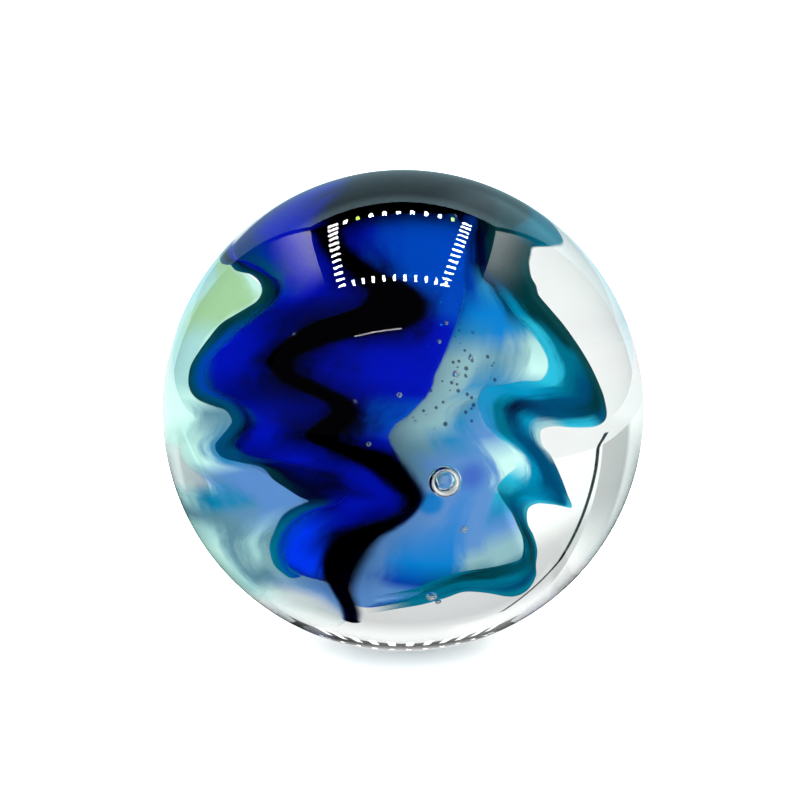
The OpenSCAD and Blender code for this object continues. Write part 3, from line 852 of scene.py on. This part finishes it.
class MARBLE_OT_stage(bpy.types.Operator):
    """Pale floor, light tent with its ring of lamps, soft lamp and camera"""
    bl_idname = "marble.stage"
    bl_label = "Stage"

    def execute(self, context):
        scene, stage = context.scene, context.scene.marble_stage
        ball_d, h = scene.marble_sizes.ball_d, stage.tent_h
        square = plates((0, 0, -ball_d / 2), (FLOOR_HALF, 0, 0), (0, FLOOR_HALF, 0))
        sheets("floor", square, white_board(ball_d), "camera", "diffuse", "glossy", "transmission", "shadow")
        self.tent(h, -ball_d / 2)
        self.lamps(h, stage.lamp)
        self.soft_light(scene)
        self.camera(scene, stage)
        scene.view_settings.view_transform = "Standard"
        scene.cycles.max_bounces = 40
        scene.cycles.transmission_bounces = 40
        scene.cycles.glossy_bounces = 24
        scene.cycles.transparent_max_bounces = 64
        scene.cycles.diffuse_bounces = 2
        scene.cycles.use_denoising = True
        return {"FINISHED"}

    def tent(self, h, low):
        """Cloth sides and back, a black roof, seams, and a slit of daylight between the front curtains."""
        x, back, front = TENT_SIDE * h, TENT_BACK * h, TENT_FRONT * h
        sides = [[(k, front, low), (k, back, low), (k, back, h), (k, front, h)] for k in (-x, x)]
        sheets("tent_sides", sides,
               light_surface("tent cloth, sides", side_glossy, side_through), "glossy", "transmission")
        sheets("tent_back", [(-x, back, low), (x, back, low), (x, back, h), (-x, back, h)],
               light_surface("tent cloth, back", back_glossy, back_through, "#c8f2ff"),
               "glossy", "transmission")
        sheets("tent_roof", [(-x, front, h), (x, front, h), (x, back, h), (-x, back, h)],
               light_surface("tent roof, black", glossy=0.0, through=0.12), "glossy", "transmission")
        for path, wide, through in SEAMS:
            path, wide = h * np.array(path), h * np.array(wide)
            a, b = path[:-1], path[1:]
            sheets("tent_seam", np.stack([a - wide, a + wide, b + wide, b - wide], 1),
                   light_surface("tent seam", glossy=0.0, through=through), "transmission")
        sheets("tent_slit", SLIT_FAR * h * aim(SLIT_LON, SLIT_LAT),
               light_surface("daylight in the slit", glossy=9.0, through=0.9), "glossy")

    def lamps(self, h, brightness):
        """A ring of small bright lamps under the roof, and a row that only shows through the ball."""
        lines = []
        for x0, y0, x1, y1, count, wide, deep in LAMP_LINES:
            u = np.arange(count) / (count - 1)
            centres = np.stack([(x0 + (x1 - x0) * u) * h, (y0 + (y1 - y0) * u) * h,
                                np.full(count, LAMP_HIGH * h)], -1)
            lines.append(plates(centres, (wide * h, 0, 0), (0, deep * h, 0)))
        warm, lines[0] = lines[0][WARM_LAMPS], np.delete(lines[0], WARM_LAMPS, 0)
        sheets("lamp_ring", np.concatenate(lines), light_surface("lamp", brightness, through=12.0),
               "glossy", "transmission")
        sheets("lamp_pair", warm, light_surface("lamp, yellow-green", 16.0, through=12.0, tint="#d8ff70"),
               "glossy", "transmission")
        x0, x1, count, y, z, wide, tall = LOW_ROW
        x = np.linspace(x0, x1, count) * h
        centres = np.stack([x, np.full(count, y * h), np.full(count, z * h)], -1)
        sheets("lamp_low_row", plates(centres, (wide * h, 0, 0), (0, 0, tall * h)),
               light_surface("lamp", glossy=0.0, through=3.0), "transmission")

    def soft_light(self, scene):
        """A studio of strength 4 for the eye and for matt glass, 0.95 through clear glass and 0.02 in
        reflections, and a soft lamp overhead that lights matt surfaces alone."""
        world = bpy.data.worlds.new("studio")
        scene.world = world
        world.use_nodes = True
        tree = world.node_tree
        rays = add(tree, "LightPath").node.outputs
        eye = add(tree, "Math MAXIMUM", [rays["Is Camera Ray"], rays["Is Diffuse Ray"]])
        eye = add(tree, "Math MULTIPLY", [eye, 4.0])
        dim = add(tree, "Math MULTIPLY_ADD", [rays["Is Transmission Ray"], 0.93, 0.02])
        both = add(tree, "Math MAXIMUM", [eye, fill(tree, dim)])
        tree.links.new(both, tree.nodes["Background"].inputs["Strength"])
        tree.nodes["Background"].inputs["Color"].default_value = (1, 1, 1, 1)
        lamp = bpy.data.lights.new("softbox", "AREA")
        lamp.shape, lamp.size, lamp.energy = "SQUARE", 0.6, 8.0
        box = bpy.data.objects.new("softbox", lamp)
        box.location = (0, 0, 0.6)
        scene.collection.objects.link(box)
        seen(box, "diffuse")

    def camera(self, scene, stage):
        """A camera in front of the ball, a little over it, that looks at its centre."""
        lens = bpy.data.cameras.new("camera")
        lens.lens, lens.clip_start, lens.clip_end = stage.camera_lens, 0.001, 10.0
        lens.shift_x, lens.shift_y = stage.camera_shift
        camera = bpy.data.objects.new("camera", lens)
        far, up = stage.camera_far, stage.camera_up
        camera.location = (0, -far * math.cos(up), far * math.sin(up))
        camera.rotation_euler = (math.pi / 2 - up, 0, 0)
        scene.collection.objects.link(camera)
        scene.camera = camera


class MARBLE_PT_panel(bpy.types.Panel):
    """Marble panel in the sidebar"""
    bl_idname = "MARBLE_PT_panel"
    bl_label = "Glass Marble"
    bl_space_type = "VIEW_3D"
    bl_region_type = "UI"
    bl_category = "Marble"

    def draw(self, context):
        for group in GROUPS:
            held = getattr(context.scene, group)
            box = self.layout.box()
            for name in held.__annotations__:
                box.prop(held, name)
        for maker in MAKERS:
            self.layout.operator(maker.bl_idname)


MAKERS = (MARBLE_OT_casing, MARBLE_OT_cobalt, MARBLE_OT_black, MARBLE_OT_fringe, MARBLE_OT_ribbon,
          MARBLE_OT_veils, MARBLE_OT_stage)
GROUPS = {"marble_sizes": MarbleSizes, "marble_colours": MarbleColours, "marble_stage": MarbleStage}


def register():
    """Registers the settings, the operators and the panel."""
    for kind in (*GROUPS.values(), *MAKERS, MARBLE_PT_panel):
        bpy.utils.register_class(kind)
    for name, kind in GROUPS.items():
        setattr(bpy.types.Scene, name, bpy.props.PointerProperty(type=kind))


def unregister():
    """Takes back what register did."""
    for name in GROUPS:
        delattr(bpy.types.Scene, name)
    for kind in reversed((*GROUPS.values(), *MAKERS, MARBLE_PT_panel)):
        bpy.utils.unregister_class(kind)


def main():
    """Registers the add-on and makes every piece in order."""
    register()
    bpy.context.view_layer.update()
    for make in (bpy.ops.marble.casing, bpy.ops.marble.cobalt, bpy.ops.marble.black, bpy.ops.marble.fringe,
                 bpy.ops.marble.ribbon, bpy.ops.marble.veils, bpy.ops.marble.stage):
        make()


if __name__ == "__main__":
    main()
